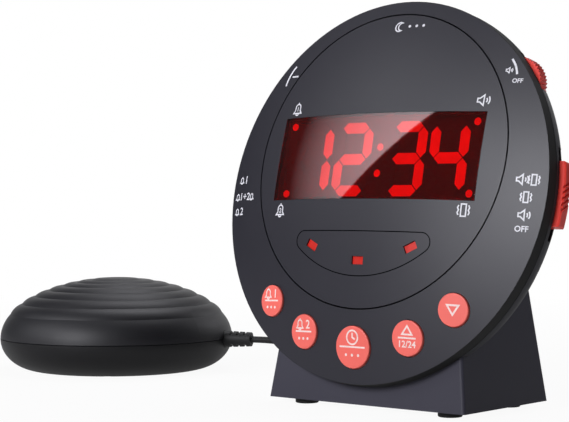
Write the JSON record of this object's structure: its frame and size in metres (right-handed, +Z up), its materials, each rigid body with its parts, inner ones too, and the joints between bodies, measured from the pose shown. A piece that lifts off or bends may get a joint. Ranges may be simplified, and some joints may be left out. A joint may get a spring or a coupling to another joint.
{
  "type": "bed shaker alarm clock",
  "caption": "Round domed alarm clock on a tapered stand, with a vibrating disc on a tied cord.",
  "frame": {"origin": "on the table, under the middle of the clock and its disc together", "axes": "+X the viewer's right, -Y the front, +Z up"},
  "size_m": [0.2994, 0.1243, 0.1465],
  "materials": {
    "black_plastic": "satin moulded",
    "panel_black": "fine matt paint",
    "grey_plastic": "fine texture",
    "puck_plastic": "soft matt",
    "red_lens": "tinted clear",
    "red_segment": "lit",
    "dark_segment": "unlit",
    "coral_plastic": "satin",
    "red_plastic": "satin",
    "light_red": "diffusing",
    "milky_plastic": "diffusing",
    "board": "solder mask",
    "switch_black": "moulded",
    "screw_steel": "zinc plated",
    "speaker_metal": "stamped",
    "battery_skin": "printed jacket left plain",
    "motor_steel": "drawn can",
    "weight_brass": "turned",
    "rubber_black": "moulded",
    "cord_black": "round jacket",
    "inlet_black": "moulded"
  },
  "bodies": {
    "clock": {"backup_battery": "battery_skin", "base_plate": "grey_plastic", "base_plate_screws": "screw_steel", "base_screws": "screw_steel", "base_shell": "grey_plastic", "battery_snap": "switch_black", "cord_tie": "black_plastic", "dc_inlet": "inlet_black", "display_dark_segments": "dark_segment", "display_lit_segments": "red_segment", "display_module": "switch_black", "front_bezel": "panel_black", "housing_screws": "screw_steel", "internal_harness": "rubber_black", "key_board": "board", "key_board_screws": "screw_steel", "key_switches": "switch_black", "main_board": "board", "main_board_screws": "screw_steel", "motor_clamp": "puck_plastic", "motor_clamp_screws": "screw_steel", "motor_wires": "rubber_black", "rear_housing": "grey_plastic", "rubber_feet": "rubber_black", "shaker_bottom_shell": "puck_plastic", "shaker_cord_coil": "cord_black", "shaker_cord_lead": "cord_black", "shaker_cord_tail": "cord_black", "shaker_jack": "inlet_black", "shaker_motor": "motor_steel", "shaker_plug": "rubber_black", "shaker_screws": "screw_steel", "shaker_strain_relief": "rubber_black", "shaker_top_shell": "puck_plastic", "slide_switches": "switch_black", "snooze_switch": "switch_black", "socket_board": "board", "socket_board_spacers": "switch_black", "speaker": "speaker_metal", "status_lamps": "milky_plastic", "wheel_controls": "screw_steel"},
    "snooze_bar": {"snooze_panel": "panel_black", "display_lens": "red_lens", "status_panel": "black_plastic", "status_windows": "light_red"},
    "alarm_one_key": {"alarm_one_button": "coral_plastic"},
    "alarm_two_key": {"alarm_two_button": "coral_plastic"},
    "clock_set_key": {"clock_set_button": "coral_plastic"},
    "up_key": {"up_button": "coral_plastic"},
    "down_key": {"down_button": "coral_plastic"},
    "dimmer_dial": {"dimmer_wheel": "red_plastic"},
    "volume_dial": {"volume_wheel": "red_plastic"},
    "alarm_mode_slider": {"alarm_mode_knob": "red_plastic"},
    "alarm_select_slider": {"alarm_select_knob": "red_plastic"},
    "battery_cover": {"battery_door": "grey_plastic"},
    "shaker_rotor": {"shaker_rotor_shaft": "screw_steel", "shaker_weight": "weight_brass"}
  },
  "joints": [
    {"name": "snooze_press", "type": "slide", "parent": "clock", "child": "snooze_bar", "axis": [0, 0.9759, -0.2181], "range_m": [0, 0.0008], "stiffness_N_per_m": 2500, "springref_m": -0.0008},
    {"name": "alarm_one_press", "type": "slide", "parent": "clock", "child": "alarm_one_key", "axis": [0, 0.9759, -0.2181], "range_m": [0, 0.0008], "stiffness_N_per_m": 800, "springref_m": -0.0004},
    {"name": "alarm_two_press", "type": "slide", "parent": "clock", "child": "alarm_two_key", "axis": [0, 0.9759, -0.2181], "range_m": [0, 0.0008], "stiffness_N_per_m": 800, "springref_m": -0.0004},
    {"name": "clock_set_press", "type": "slide", "parent": "clock", "child": "clock_set_key", "axis": [0, 0.9759, -0.2181], "range_m": [0, 0.0008], "stiffness_N_per_m": 800, "springref_m": -0.0004},
    {"name": "up_press", "type": "slide", "parent": "clock", "child": "up_key", "axis": [0, 0.9759, -0.2181], "range_m": [0, 0.0008], "stiffness_N_per_m": 800, "springref_m": -0.0004},
    {"name": "down_press", "type": "slide", "parent": "clock", "child": "down_key", "axis": [0, 0.9759, -0.2181], "range_m": [0, 0.0008], "stiffness_N_per_m": 800, "springref_m": -0.0004},
    {"name": "dimmer_turn", "type": "hinge", "parent": "clock", "child": "dimmer_dial", "pos_m": [0.12578, -0.02163, 0.11368], "axis": [0, -0.9759, 0.2181], "range_deg": [-140, 140]},
    {"name": "volume_turn", "type": "hinge", "parent": "clock", "child": "volume_dial", "pos_m": [0.02912, -0.02163, 0.11368], "axis": [0, -0.9759, 0.2181], "range_deg": [-140, 140]},
    {"name": "alarm_mode_slide", "type": "slide", "parent": "clock", "child": "alarm_mode_slider", "axis": [0, 0.2181, 0.9759], "range_m": [-0.0045, 0.0045]},
    {"name": "alarm_select_slide", "type": "slide", "parent": "clock", "child": "alarm_select_slider", "axis": [0, 0.2181, 0.9759], "range_m": [-0.003, 0.003]},
    {"name": "battery_cover_hinge", "type": "hinge", "parent": "clock", "child": "battery_cover", "pos_m": [0.07745, -0.00648, 0.05104], "axis": [-1, 0, 0], "range_deg": [0, 80]},
    {"name": "shaker_spin", "type": "hinge", "parent": "clock", "child": "shaker_rotor", "pos_m": [-0.09895, 0.00257, 0.0162], "axis": [1, 0, 0], "continuous": true}
  ]
}
